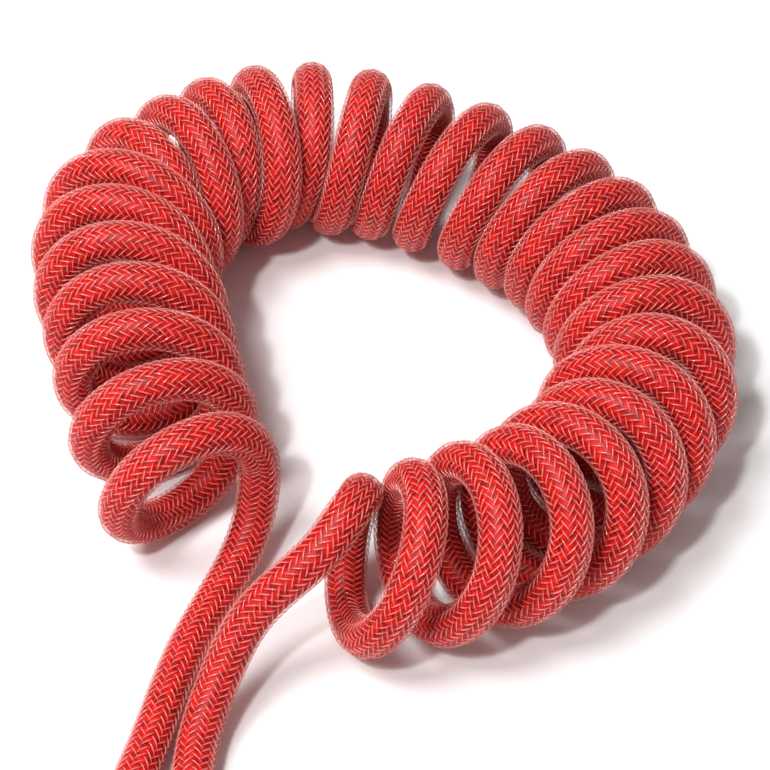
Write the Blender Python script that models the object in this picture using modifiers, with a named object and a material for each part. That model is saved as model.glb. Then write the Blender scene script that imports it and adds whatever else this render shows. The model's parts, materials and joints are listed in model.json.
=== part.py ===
"""Coiled air hose: a sleeved recoil hose whose coil lies bent into an open ring.

One tail ends in a swivelling quick-connect plug, the other in a swivelling quick coupler with a sprung sleeve,
locking balls and a shut-off valve. Metres, +Z up. The hose lies on Z = 0, and the origin is the middle of the
whole object's base. Each end is built along the Z axis of its own empty, which points out of the hose; heights
named below are distances along it from the hose side of the spring guard.
"""

from math import cos, pi, radians, sin

import bmesh
import bpy
import numpy as np
from mathutils import Matrix, Vector

# Clearances
GAP = 0.0003              # between two pieces that touch
RUNNING_GAP = 0.0003      # on the radius, around pieces that turn, slide or screw in
SEAL_GAP = 0.00015        # on the radius, around a rubber ring

# Hose and coil
HOSE_DIAMETER = 0.0096    # over the braided sleeve
COIL_DIAMETER = 0.0425    # outside the turns
RING_CENTRE = Vector((0.0058, 0.0853, 0.0))   # of the ring that the coil is bent into

# The coil's own axis, seen from above: turn number, then place from the ring's centre in millimetres
COIL_ROUTE = (
    (-0.5, -36.0, -59.5), (0.5, -43.5, -43.0), (1.5, -49.5, -27.5), (3.0, -54.5, -7.5), (5.0, -59.5, 14.5),
    (7.0, -57.5, 35.0), (9.0, -42.0, 50.5), (11.0, -21.0, 57.0), (13.0, 2.0, 54.0), (15.0, 25.0, 42.5),
    (17.0, 42.5, 28.0), (19.0, 54.5, 8.0), (21.0, 58.0, -15.5), (23.0, 48.0, -37.5), (25.0, 32.0, -53.5),
    (26.5, 14.5, -61.5), (27.5, 0.5, -65.0), (28.5, -14.0, -67.0),
)
COIL_FIRST_TURN = 0.0
COIL_LAST_TURN = 27.9
COIL_STATIONS = 30

# The two tails, in millimetres from the ring's centre, up to the spring guards
SUPPLY_ROUTE = (
    (-30.7, -51.8, 7.4), (-34.9, -61.3, 5.4), (-41.4, -75.6, 5.0), (-45.8, -89.5, 5.0), (-49.4, -102.8, 5.0),
    (-53.6, -116.0, 5.8), (-58.4, -128.5, 8.2),
)
TOOL_ROUTE = (
    (-9.6, -66.2, 32.7), (-14.5, -71.3, 29.5), (-21.0, -75.2, 25.2), (-27.7, -79.4, 19.5), (-32.5, -85.3, 13.5),
    (-36.4, -93.3, 8.3), (-38.8, -102.2, 5.8), (-39.4, -115.0, 6.0), (-38.4, -129.0, 9.6),
)
TAIL_STATIONS = 16

# Both hose ends
GUARD_WIRE = 0.0014
GUARD_SLACK = 0.0006      # between the hose and the wire, on the radius
GUARD_LENGTH = 0.0366     # outside the nut
GUARD_PITCH = 0.0039
GUARD_FLARE = 0.0009      # of the last turn, which the nut's lip holds
NUT_LENGTH = 0.0145
NUT_LIP = 0.0016
NUT_WALL = 0.0016         # at the middle of a flat
HOSE_END_LENGTH = 0.0130  # of the hose that sits on the barbs
FERRULE_LENGTH = 0.0041
BARB_COUNT = 3
BARB_HEIGHT = 0.0006
BARB_RADIUS = 0.0028
AIR_WAY = 0.0040
THREAD_LENGTH = 0.0048
COLLAR_LENGTH = 0.0030
JOURNAL_RADIUS = 0.0040
JOURNAL_END = 0.0011      # beyond the retaining ring
SEAL_THICKNESS = 0.0011
SEAL_SETBACK = 0.0039     # from the collar to the seal's middle
LAND_LENGTH = 0.0089      # of the swivel's bore on the journal
RING_THICKNESS = 0.0008
RING_HEIGHT = 0.0012      # above the journal
RING_MOUTH = 0.0030       # opening of the retaining ring
RING_ROOM = 0.0004        # around the retaining ring, on the radius
SWIVEL_LENGTH = 0.0153

# Supply end
SUPPLY_HEADING = radians(-15)     # from -Y towards +X
SUPPLY_PLACE = (-63.0, -140.0)
FLOOR_GAP = 0.0002        # under the lowest piece of an end
SUPPLY_SWIVEL_WALL = 0.0024
WASHER_THICKNESS = 0.0012
PLUG_SHOULDER = 0.0030
PLUG_SHOULDER_DIAMETER = 0.0150
PLUG_DIAMETER = 0.0106
PLUG_NECK_DIAMETER = 0.0082
PLUG_TIP_DIAMETER = 0.0078
PLUG_BODY_LENGTH = 0.0070
PLUG_NECK_LENGTH = 0.0050
PLUG_RIDGE_LENGTH = 0.0016
PLUG_TIP_LENGTH = 0.0050

# Tool end
TOOL_HEADING = 0.0
TOOL_PLACE = (-37.0, -144.0)
SPIGOT_WALL = 0.0014
SPIGOT_LENGTH = 0.0079
SPIGOT_SHOULDER = 0.0015  # from the spigot to the middle of a flat
SPRING_SEAT = 0.0010
VALVE_ROOM = 0.0013       # around the valve's disc, on the radius
VALVE_LIFT = 0.0029
VALVE_SPRING_WIRE = 0.0006
VALVE_SPRING_RADIUS = 0.0036
VALVE_SPRING_LENGTH = 0.0060
VALVE_SPRING_TURNS = 3
VALVE_DISC_RADIUS = 0.0046
VALVE_DISC = 0.0017
VALVE_SEAL = 0.0008
VALVE_SEAT = 0.0016
VALVE_NOSE_RADIUS = 0.0028
VALVE_HOLE_ROOM = 0.0004
THROAT_LENGTH = 0.0054
PLUG_SEAL_SETBACK = 0.0027        # from the seat to the seal's middle
BALL_DIAMETER = 0.0040
BALL_COUNT = 4
BALL_REACH = 0.0007       # how far a ball stands into the mouth
BALL_SHIFT = 0.0009       # how far a ball moves out
BALL_PLAY = 0.0002
BALL_SLOPE = 0.35         # taper of a ball's hole
SLEEVE_SKIRT = 0.0009
SLEEVE_POCKET = 0.0100    # depth of the spring's pocket
SLEEVE_LAND = 0.0042      # behind the balls
SLEEVE_NOSE = 0.0025      # in front of the recess that frees the balls
SLEEVE_SLACK = 0.0005     # around the collar, on the radius
SLEEVE_SPRING_WIRE = 0.0009
SLEEVE_SPRING_ROOM = 0.0024       # between the barrel and the sleeve's skirt
SLEEVE_SPRING_LENGTH = 0.0116
SLEEVE_SPRING_TURNS = 5
STOP_RING_SETBACK = 0.0020
STOP_RING_THICKNESS = 0.0008
STOP_RING_DEPTH = 0.0006

SEGMENTS = 24
WIRE_POINTS = 10          # in one turn of a spring

# Radii that the pieces share
HOSE_RADIUS = HOSE_DIAMETER / 2
NUT_LIP_RADIUS = HOSE_RADIUS + GUARD_SLACK + GUARD_WIRE + GAP
NUT_BORE = NUT_LIP_RADIUS + GUARD_FLARE - GAP / 3
THREAD_RADIUS = NUT_BORE - RUNNING_GAP
NUT_FLATS = 2 * (NUT_BORE + NUT_WALL)
COLLAR_FLATS = 2 * (THREAD_RADIUS + GAP) + GAP
SEAL_FLOOR = JOURNAL_RADIUS + RUNNING_GAP - SEAL_THICKNESS - 2 * SEAL_GAP
RING_INNER = JOURNAL_RADIUS - GAP
RING_OUTER = JOURNAL_RADIUS + RING_HEIGHT
CHAMBER_RADIUS = RING_OUTER + RING_ROOM
SUPPLY_SWIVEL_FLATS = 2 * (CHAMBER_RADIUS + SUPPLY_SWIVEL_WALL)
SPIGOT_RADIUS = CHAMBER_RADIUS + SPIGOT_WALL
TOOL_SWIVEL_FLATS = 2 * (SPIGOT_RADIUS + SPIGOT_SHOULDER)
MOUTH_RADIUS = PLUG_DIAMETER / 2 + RUNNING_GAP
THROAT_RADIUS = PLUG_TIP_DIAMETER / 2 + RUNNING_GAP
BALL_CENTRE = MOUTH_RADIUS - BALL_REACH + BALL_DIAMETER / 2
SLEEVE_BORE = BALL_CENTRE + BALL_DIAMETER / 2 + BALL_PLAY
BARREL_RADIUS = SLEEVE_BORE - RUNNING_GAP
POCKET_RADIUS = BARREL_RADIUS + SLEEVE_SPRING_ROOM
COUPLER_COLLAR_RADIUS = POCKET_RADIUS - SLEEVE_SLACK
SLEEVE_RADIUS = POCKET_RADIUS + SLEEVE_SKIRT

# Heights that the pieces share
NUT_START = GUARD_LENGTH
NUT_END = NUT_START + NUT_LENGTH
FLARE_START = NUT_START + NUT_LIP + GUARD_WIRE / 2 + GAP
FLARE_END = FLARE_START + GUARD_WIRE + GAP
FERRULE_START = FLARE_END + GUARD_WIRE / 2 + GAP
HOSE_STOP = FERRULE_START + FERRULE_LENGTH
BARB_START = HOSE_STOP - HOSE_END_LENGTH
THREAD_START = HOSE_STOP + GAP
COLLAR_START = max(THREAD_START + THREAD_LENGTH, NUT_END + GAP)
COLLAR_END = COLLAR_START + COLLAR_LENGTH
SWIVEL_START = COLLAR_END + GAP
RING_START = SWIVEL_START + LAND_LENGTH + 2 * GAP
RING_END = RING_START + RING_THICKNESS
STEM_END = RING_END + JOURNAL_END
SWIVEL_END = SWIVEL_START + SWIVEL_LENGTH
VALVE_SPRING_START = SWIVEL_END + GAP + SPRING_SEAT + GAP
VALVE_SPRING_END = VALVE_SPRING_START + VALVE_SPRING_LENGTH
DISC_START = VALVE_SPRING_END + GAP
DISC_END = DISC_START + VALVE_DISC
SEAT_START = DISC_END + GAP + VALVE_SEAL + GAP
SEAT_END = SEAT_START + VALVE_SEAT
THROAT_END = SEAT_END + THROAT_LENGTH
BALL_HEIGHT = THROAT_END + GAP + PLUG_RIDGE_LENGTH + PLUG_NECK_LENGTH / 2
SLEEVE_TRAVEL = BALL_DIAMETER + 2 * BALL_PLAY + GAP / 3
RECESS_END = BALL_HEIGHT + SLEEVE_TRAVEL + BALL_DIAMETER / 2 + BALL_PLAY
SLEEVE_END = RECESS_END + SLEEVE_NOSE
STOP_RING_START = SLEEVE_END + GAP
STOP_RING_END = STOP_RING_START + STOP_RING_THICKNESS
MOUTH_HEIGHT = STOP_RING_END + GAP + STOP_RING_SETBACK
POCKET_END = BALL_HEIGHT - BALL_DIAMETER / 2 - SLEEVE_LAND
SLEEVE_SPRING_START = POCKET_END - GAP - SLEEVE_SPRING_LENGTH


def make_material(name, colour, roughness, metallic=0.0):
    """Make a plain Principled material."""
    material = bpy.data.materials.new(name)
    material.use_nodes = True
    shader = material.node_tree.nodes["Principled BSDF"]
    shader.inputs["Base Color"].default_value = (*colour, 1.0)
    shader.inputs["Roughness"].default_value = roughness
    shader.inputs["Metallic"].default_value = metallic
    material.diffuse_color = (*colour, 1.0)
    return material


def smooth_curve(stations, values, wanted):
    """Read the natural cubic curve through the values at the stations, at the wanted stations."""
    t = np.asarray(stations, float)
    p = np.asarray(values, float)
    step = np.diff(t)
    system = np.eye(len(t))
    change = np.zeros_like(p)
    for i in range(1, len(t) - 1):
        system[i, i - 1:i + 2] = step[i - 1], 2 * (step[i - 1] + step[i]), step[i]
        change[i] = 6 * ((p[i + 1] - p[i]) / step[i] - (p[i] - p[i - 1]) / step[i - 1])
    bend = np.linalg.solve(system, change)
    at = np.asarray(wanted, float)
    k = np.clip(np.searchsorted(t, at) - 1, 0, len(t) - 2)
    after = ((at - t[k]) / step[k])[:, None]
    before = 1 - after
    lift = (before**3 - before) * bend[k] + (after**3 - after) * bend[k + 1]
    return before * p[k] + after * p[k + 1] + lift * (step[k] ** 2)[:, None] / 6


def from_ring(millimetres):
    """Turn a place in millimetres from the ring's centre into metres from the origin."""
    return RING_CENTRE + Vector(millimetres) / 1000


def add_object(name, data, material, parent=None, at=(0, 0, 0)):
    """Put a new object in the part's collection."""
    obj = bpy.data.objects.new(name, data)
    parts.objects.link(obj)
    obj.parent = parent
    obj.location = at
    data.materials.append(material)
    return obj


def add_wire(name, points, diameter, material, parent=None, sides=2):
    """Add a round wire or hose along a list of points."""
    curve = bpy.data.curves.new(name, "CURVE")
    curve.dimensions = "3D"
    curve.bevel_depth = diameter / 2
    curve.bevel_resolution = sides
    curve.use_fill_caps = True
    spline = curve.splines.new("POLY")
    spline.points.add(len(points) - 1)
    for place, point in zip(spline.points, points):
        place.co = (*point, 1)
    return add_object(name, curve, material, parent)


def add_turned(name, profile, material, parent, solid=False):
    """Add a turned piece: (radius, height) points down its outer side, then up its inner side if it is hollow."""
    mesh = bpy.data.meshes.new(name)
    shape = bmesh.new()
    rim = [shape.verts.new((radius, 0, height)) for radius, height in profile]
    for start, end in zip(rim, rim[1:]):
        shape.edges.new((start, end))
    if not solid:
        shape.edges.new((rim[-1], rim[0]))
    shape.to_mesh(mesh)
    shape.free()
    obj = add_object(name, mesh, material, parent)
    turn = obj.modifiers.new("Turn", "SCREW")
    turn.steps = turn.render_steps = SEGMENTS
    turn.use_merge_vertices = True
    turn.merge_threshold = 0.00001
    turn.use_smooth_shade = True
    return obj


def cut(obj, shape, operation="DIFFERENCE"):
    """Cut a piece with a bmesh, or keep only what lies inside it, in the frame of the piece's parent."""
    mesh = bpy.data.meshes.new(obj.name + "_cutter")
    shape.to_mesh(mesh)
    shape.free()
    cutter = bpy.data.objects.new(mesh.name, mesh)
    cutters.objects.link(cutter)
    cutter.parent = obj.parent
    cutter.display_type = "WIRE"
    cutter.hide_render = True
    boolean = obj.modifiers.new("Cut", "BOOLEAN")
    boolean.operation = operation
    boolean.object = cutter
    boolean.solver = "EXACT"


def make_hexagonal(obj, flats, bottom, top):
    """Give a turned piece six flats, of which two face up and down."""
    shape = bmesh.new()
    corner = flats / 2 / cos(pi / 6)
    place = Matrix.Translation((0, 0, (top + bottom) / 2)) @ Matrix.Rotation(pi / 6, 4, "Z")
    depth = top - bottom + 4 * GAP
    bmesh.ops.create_cone(
        shape, cap_ends=True, segments=6, radius1=corner, radius2=corner, depth=depth, matrix=place
    )
    cut(obj, shape, "INTERSECT")


def hexagon_outline(flats, bottom, top):
    """Outline the outer side of a chamfered hexagon: from its top face down to its bottom face."""
    corner = flats / 2 / cos(pi / 6)
    face = flats / 2 * 0.97
    drop = (corner - face) * 0.58
    return [(face, top), (corner, top - drop), (corner, bottom + drop), (face, bottom)]


def ring_outline(inner, outer, bottom, top):
    """Outline a plain washer."""
    return [(outer, top), (outer, bottom), (inner, bottom), (inner, top)]


def rubber_ring_outline(middle, thickness, height):
    """Outline a rubber ring of round section, down its outer side first."""
    angles = [pi / 2 - 2 * pi * i / 6 for i in range(6)]
    return [(middle + thickness / 2 * cos(a), height + thickness / 2 * sin(a)) for a in angles]


def groove(radius, floor, bottom, top):
    """Outline a groove in an outer side, from its top edge down."""
    return [(radius, top), (floor, top), (floor, bottom), (radius, bottom)]


def spring_points(radius, bottom, top, turns):
    """Points along a wire wound about the local Z axis."""
    count = round(turns * WIRE_POINTS)
    return [
        (
            radius * cos(2 * pi * i / WIRE_POINTS),
            radius * sin(2 * pi * i / WIRE_POINTS),
            bottom + (top - bottom) * i / count,
        )
        for i in range(count + 1)
    ]


def add_end_frame(name, place, height, heading):
    """Add an empty whose Z axis points out of the hose and whose Y axis points up."""
    frame = bpy.data.objects.new(name, None)
    parts.objects.link(frame)
    out = Vector((sin(heading), -cos(heading), 0))
    side = Vector((-out.y, out.x, 0))
    turn = Matrix((side, (0, 0, 1), out)).transposed().to_4x4()
    frame.matrix_world = Matrix.Translation(from_ring((*place, height * 1000))) @ turn
    return frame


def add_coil():
    """Add the coil as one fat tube along the ring that the coil is bent into."""
    turns = np.linspace(COIL_FIRST_TURN, COIL_LAST_TURN, COIL_STATIONS)
    stations = [row[0] for row in COIL_ROUTE]
    places = [row[1:] for row in COIL_ROUTE]
    height = COIL_DIAMETER / 2 * 1000
    points = [from_ring((x, y, height)) for x, y in smooth_curve(stations, places, turns)]
    return add_wire("hose_coil", points, COIL_DIAMETER, red_hose, sides=4)


def add_tail(name, route, frame):
    """Add the hose between the coil and the barbs of a hose end, straight inside the spring guard."""
    depths = np.linspace(0, BARB_START - GAP, 4)
    straight = [frame.matrix_world @ Vector((0, 0, depth)) for depth in depths]
    places = np.array([from_ring(point) for point in route] + straight)
    travelled = np.concatenate(([0], np.cumsum(np.linalg.norm(np.diff(places, axis=0), axis=1))))
    points = smooth_curve(travelled, places, np.linspace(0, travelled[-1], TAIL_STATIONS))
    return add_wire(name, points, HOSE_DIAMETER, red_hose)


def add_spring_guard(end, frame):
    """Add the wire spring that keeps the hose from kinking, with its last turn flared inside the nut."""
    radius = HOSE_RADIUS + GUARD_SLACK + GUARD_WIRE / 2
    turns = (FLARE_START - GUARD_WIRE / 2) / GUARD_PITCH
    points = spring_points(radius, GUARD_WIRE / 2, FLARE_START, turns)
    first = len(points)
    for i in range(first, first + WIRE_POINTS):
        angle = 2 * pi * i / WIRE_POINTS
        share = (i - first + 1) / WIRE_POINTS
        wide = radius + GUARD_FLARE * min(1, 2.5 * share)
        height = FLARE_START + (FLARE_END - FLARE_START) * share
        points.append((wide * cos(angle), wide * sin(angle), height))
    return add_wire(end + "_spring_guard", points, GUARD_WIRE, spring_steel, frame)


def add_nut(end, frame):
    """Add the hexagonal nut that holds the guard and clamps the hose end."""
    lip_end = NUT_START + NUT_LIP
    outline = hexagon_outline(NUT_FLATS, NUT_START, NUT_END)
    outline += [(NUT_LIP_RADIUS, NUT_START), (NUT_LIP_RADIUS, lip_end), (NUT_BORE, lip_end), (NUT_BORE, NUT_END)]
    nut = add_turned(end + "_nut", outline, nickel, frame)
    make_hexagonal(nut, NUT_FLATS, NUT_START, NUT_END)


def add_stem(end, frame):
    """Add the stem: barbs for the hose, a threaded length, a wrench collar and the swivel's journal."""
    barb = (HOSE_STOP - BARB_START) / BARB_COUNT
    low = BARB_RADIUS - BARB_HEIGHT
    groove_middle = COLLAR_END + SEAL_SETBACK
    groove_half = SEAL_THICKNESS / 2 + GAP
    outline = [(JOURNAL_RADIUS, STEM_END)]
    outline += groove(JOURNAL_RADIUS, RING_INNER - GAP, RING_START - GAP, RING_END + GAP)
    outline += groove(JOURNAL_RADIUS, SEAL_FLOOR, groove_middle - groove_half, groove_middle + groove_half)
    outline += [(JOURNAL_RADIUS, COLLAR_END)]
    outline += hexagon_outline(COLLAR_FLATS, COLLAR_START, COLLAR_END)
    outline += [(THREAD_RADIUS, COLLAR_START), (THREAD_RADIUS, THREAD_START), (BARB_RADIUS, THREAD_START)]
    for i in reversed(range(1, BARB_COUNT)):
        outline += [(low, BARB_START + i * barb), (BARB_RADIUS, BARB_START + i * barb)]
    outline += [(low, BARB_START), (AIR_WAY / 2, BARB_START), (AIR_WAY / 2, STEM_END)]
    stem = add_turned(end + "_stem", outline, brass, frame)
    make_hexagonal(stem, COLLAR_FLATS, BARB_START, STEM_END)
    seal = rubber_ring_outline(SEAL_FLOOR + SEAL_GAP + SEAL_THICKNESS / 2, SEAL_THICKNESS, groove_middle)
    add_turned(end + "_swivel_seal", seal, black_rubber, frame)


def add_retaining_ring(end, frame):
    """Add the open ring that keeps the swivel on its journal."""
    outline = ring_outline(RING_INNER, RING_OUTER, RING_START, RING_END)
    ring = add_turned(end + "_retaining_ring", outline, spring_steel, frame)
    shape = bmesh.new()
    middle = (RING_START + RING_END) / 2
    size = Matrix.Diagonal((2 * RING_OUTER, RING_MOUTH, 4 * RING_THICKNESS, 1))
    bmesh.ops.create_cube(shape, size=1, matrix=Matrix.Translation((RING_OUTER, 0, middle)) @ size)
    cut(ring, shape)


def add_hose_end(end, frame):
    """Add every piece that is fixed to one end of the hose."""
    add_spring_guard(end, frame)
    add_nut(end, frame)
    bore = BARB_RADIUS + SEAL_GAP
    add_turned(end + "_hose_end", ring_outline(bore, HOSE_RADIUS, BARB_START, HOSE_STOP), red_hose, frame)
    ferrule = ring_outline(HOSE_RADIUS + GAP, NUT_BORE - GAP, FERRULE_START, HOSE_STOP)
    add_turned(end + "_ferrule", ferrule, brass, frame)
    add_stem(end, frame)
    add_retaining_ring(end, frame)


def swivel_bore():
    """Outline the inside of a swivel: the land on the journal, then the chamber of the retaining ring."""
    land_end = SWIVEL_START + LAND_LENGTH
    bore = JOURNAL_RADIUS + RUNNING_GAP
    return [(bore, SWIVEL_START), (bore, land_end), (CHAMBER_RADIUS, land_end), (CHAMBER_RADIUS, SWIVEL_END)]


def add_plug(frame):
    """Add the swivel nut, its washer and the quick-connect plug of the supply end."""
    outline = hexagon_outline(SUPPLY_SWIVEL_FLATS, SWIVEL_START, SWIVEL_END)
    nut = add_turned("supply_swivel_nut", outline + swivel_bore(), nickel, frame)
    make_hexagonal(nut, SUPPLY_SWIVEL_FLATS, SWIVEL_START, SWIVEL_END)

    spigot = CHAMBER_RADIUS - RUNNING_GAP
    washer_start = SWIVEL_END + GAP
    washer_end = washer_start + WASHER_THICKNESS
    washer = ring_outline(spigot + GAP, PLUG_SHOULDER_DIAMETER / 2 - GAP, washer_start, washer_end)
    add_turned("plug_washer", washer, black_rubber, frame)

    shoulder = washer_end + GAP
    body = shoulder + PLUG_SHOULDER
    neck = body + PLUG_BODY_LENGTH
    ridge = neck + PLUG_NECK_LENGTH
    tip = ridge + PLUG_RIDGE_LENGTH
    end = tip + PLUG_TIP_LENGTH
    bevel = (PLUG_DIAMETER - PLUG_NECK_DIAMETER) / 2
    chamfer = PLUG_TIP_DIAMETER / 16
    wide = PLUG_SHOULDER_DIAMETER / 2
    outline = [
        (PLUG_TIP_DIAMETER / 2 - chamfer, end),
        (PLUG_TIP_DIAMETER / 2, end - chamfer),
        (PLUG_TIP_DIAMETER / 2, tip),
        (PLUG_DIAMETER / 2 - chamfer, tip),
        (PLUG_DIAMETER / 2, tip - chamfer),
        (PLUG_DIAMETER / 2, ridge),
        (PLUG_NECK_DIAMETER / 2, ridge - bevel),
        (PLUG_NECK_DIAMETER / 2, neck + bevel),
        (PLUG_DIAMETER / 2, neck),
        (PLUG_DIAMETER / 2, body),
        (wide - chamfer, body),
        (wide, body - chamfer),
        (wide, shoulder),
        (spigot, shoulder),
        (spigot, STEM_END + GAP),
        (AIR_WAY / 2, STEM_END + GAP),
        (AIR_WAY / 2, end),
    ]
    add_turned("supply_plug", outline, brass, frame)


def add_coupler_body(frame):
    """Add the coupler's body, with its valve seat, throat, mouth and ball holes."""
    back = SWIVEL_END - SPIGOT_LENGTH + GAP
    step = SLEEVE_SPRING_START - GAP
    bore = SPIGOT_RADIUS + RUNNING_GAP
    chamber = VALVE_DISC_RADIUS + VALVE_ROOM
    hole = VALVE_NOSE_RADIUS + VALVE_HOLE_ROOM
    seal = SEAT_END + PLUG_SEAL_SETBACK
    seal_half = SEAL_THICKNESS / 2 + SEAL_GAP
    seal_floor = THROAT_RADIUS + SEAL_THICKNESS + 2 * SEAL_GAP
    bevel = COUPLER_COLLAR_RADIUS / 10
    outline = [(BARREL_RADIUS - GAP, MOUTH_HEIGHT), (BARREL_RADIUS, MOUTH_HEIGHT - GAP)]
    ring_floor = BARREL_RADIUS - STOP_RING_DEPTH - GAP
    outline += groove(BARREL_RADIUS, ring_floor, STOP_RING_START - GAP, STOP_RING_END + GAP)
    outline += [
        (BARREL_RADIUS, step),
        (COUPLER_COLLAR_RADIUS, step),
        (COUPLER_COLLAR_RADIUS, back + bevel),
        (COUPLER_COLLAR_RADIUS - bevel, back),
        (bore, back),
        (bore, VALVE_SPRING_START),
        (chamber, VALVE_SPRING_START),
        (chamber, SEAT_START),
        (hole, SEAT_START),
        (hole, SEAT_END),
        (THROAT_RADIUS, SEAT_END),
        (THROAT_RADIUS, seal - seal_half),
        (seal_floor, seal - seal_half),
        (seal_floor, seal + seal_half),
        (THROAT_RADIUS, seal + seal_half),
        (THROAT_RADIUS, THROAT_END),
        (MOUTH_RADIUS, THROAT_END),
        (MOUTH_RADIUS, MOUTH_HEIGHT - bevel),
        (MOUTH_RADIUS + bevel / 2, MOUTH_HEIGHT),
    ]
    body = add_turned("coupler_body", outline, brass, frame)
    cut(body, ball_holes())
    inner = BARREL_RADIUS - STOP_RING_DEPTH
    outer = BARREL_RADIUS + STOP_RING_DEPTH
    ring = ring_outline(inner, outer, STOP_RING_START, STOP_RING_END)
    add_turned("sleeve_stop_ring", ring, spring_steel, frame)
    middle = THROAT_RADIUS + SEAL_GAP + SEAL_THICKNESS / 2
    add_turned("plug_seal", rubber_ring_outline(middle, SEAL_THICKNESS, seal), black_rubber, frame)


def ball_holes():
    """Shape the tapered holes that the locking balls sit in, narrower at the mouth."""
    holes = bmesh.new()
    near = MOUTH_RADIUS - BALL_DIAMETER / 4
    far = BARREL_RADIUS + BALL_DIAMETER / 4
    wide = BALL_DIAMETER / 2 + GAP
    for i in range(BALL_COUNT):
        out = Matrix.Rotation(2 * pi * i / BALL_COUNT, 4, "Z") @ Matrix.Rotation(pi / 2, 4, "Y")
        bmesh.ops.create_cone(
            holes,
            cap_ends=True,
            segments=16,
            radius1=wide - BALL_SLOPE * (BALL_CENTRE - near),
            radius2=wide + BALL_SLOPE * (far - BALL_CENTRE),
            depth=far - near,
            matrix=Matrix.Translation((0, 0, BALL_HEIGHT)) @ out @ Matrix.Translation((0, 0, (near + far) / 2)),
        )
    return holes


def add_balls(frame):
    """Add the locking balls, each with its origin on the radius that it slides along."""
    shape = bmesh.new()
    bmesh.ops.create_uvsphere(shape, u_segments=12, v_segments=8, radius=BALL_DIAMETER / 2)
    mesh = bpy.data.meshes.new("locking_ball")
    shape.to_mesh(mesh)
    shape.free()
    mesh.shade_smooth()
    mesh.materials.append(chrome)
    for i in range(BALL_COUNT):
        ball = bpy.data.objects.new(f"locking_ball_{i + 1}", mesh)
        parts.objects.link(ball)
        ball.parent = frame
        angle = 2 * pi * i / BALL_COUNT
        ball.location = (BALL_CENTRE * cos(angle), BALL_CENTRE * sin(angle), BALL_HEIGHT)


def add_sleeve(frame):
    """Add the sliding sleeve and the spring behind it."""
    back = POCKET_END - SLEEVE_POCKET
    deep = SLEEVE_BORE + BALL_SHIFT
    outline = [
        (SLEEVE_RADIUS - SLEEVE_SKIRT, SLEEVE_END),
        (SLEEVE_RADIUS, SLEEVE_END - SLEEVE_SKIRT),
        (SLEEVE_RADIUS, back),
        (POCKET_RADIUS, back),
        (POCKET_RADIUS, POCKET_END),
        (SLEEVE_BORE, POCKET_END),
        (SLEEVE_BORE, BALL_HEIGHT),
        (deep, BALL_HEIGHT + SLEEVE_TRAVEL),
        (deep, RECESS_END - BALL_SHIFT),
        (SLEEVE_BORE, RECESS_END),
        (SLEEVE_BORE, SLEEVE_END),
    ]
    add_turned("coupler_sleeve", outline, nickel, frame)
    half = SLEEVE_SPRING_WIRE / 2
    bottom = SLEEVE_SPRING_START + half
    top = SLEEVE_SPRING_START + SLEEVE_SPRING_LENGTH - half
    points = spring_points((BARREL_RADIUS + POCKET_RADIUS) / 2, bottom, top, SLEEVE_SPRING_TURNS)
    add_wire("sleeve_spring", points, SLEEVE_SPRING_WIRE, spring_steel, frame)


def add_valve(frame):
    """Add the shut-off valve, its seal, its spring and the washer that the spring stands on."""
    tip = SEAT_END + THROAT_LENGTH + GAP - PLUG_TIP_LENGTH + VALVE_LIFT
    outline = [
        (0, tip),
        (VALVE_NOSE_RADIUS, tip),
        (VALVE_NOSE_RADIUS, DISC_END),
        (VALVE_DISC_RADIUS, DISC_END),
        (VALVE_DISC_RADIUS, DISC_START),
        (0, DISC_START),
    ]
    add_turned("valve_poppet", outline, brass, frame, solid=True)
    seal = ring_outline(VALVE_NOSE_RADIUS + GAP, VALVE_DISC_RADIUS, DISC_END + GAP, SEAT_START - GAP)
    add_turned("valve_seal", seal, black_rubber, frame)
    half = VALVE_SPRING_WIRE / 2
    points = spring_points(
        VALVE_SPRING_RADIUS, VALVE_SPRING_START + half, VALVE_SPRING_END - half, VALVE_SPRING_TURNS
    )
    add_wire("valve_spring", points, VALVE_SPRING_WIRE, spring_steel, frame)
    washer = ring_outline(AIR_WAY / 2, SPIGOT_RADIUS - GAP, SWIVEL_END + GAP, SWIVEL_END + GAP + SPRING_SEAT)
    add_turned("valve_spring_seat", washer, spring_steel, frame)


def add_coupler(frame):
    """Add the swivel and every piece of the quick coupler of the tool end."""
    hexagon_end = SWIVEL_END - SPIGOT_LENGTH
    outline = [(SPIGOT_RADIUS, SWIVEL_END), (SPIGOT_RADIUS, hexagon_end)]
    outline += hexagon_outline(TOOL_SWIVEL_FLATS, SWIVEL_START, hexagon_end) + swivel_bore()
    swivel = add_turned("tool_swivel_nut", outline, nickel, frame)
    make_hexagonal(swivel, TOOL_SWIVEL_FLATS, SWIVEL_START, SWIVEL_END)
    add_coupler_body(frame)
    add_balls(frame)
    add_sleeve(frame)
    add_valve(frame)


for old in list(bpy.data.objects):
    bpy.data.objects.remove(old)
parts = bpy.data.collections.new("coiled_air_hose")
cutters = bpy.data.collections.new("cutters")
bpy.context.scene.collection.children.link(parts)
bpy.context.scene.collection.children.link(cutters)

red_hose = make_material("red_hose", (0.62, 0.03, 0.03), 0.28)
nickel = make_material("nickel", (0.62, 0.61, 0.58), 0.28, 1.0)
brass = make_material("brass", (0.70, 0.50, 0.22), 0.32, 1.0)
spring_steel = make_material("spring_steel", (0.52, 0.52, 0.53), 0.35, 1.0)
chrome = make_material("chrome", (0.75, 0.75, 0.76), 0.12, 1.0)
black_rubber = make_material("black_rubber", (0.02, 0.02, 0.02), 0.6)

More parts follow.
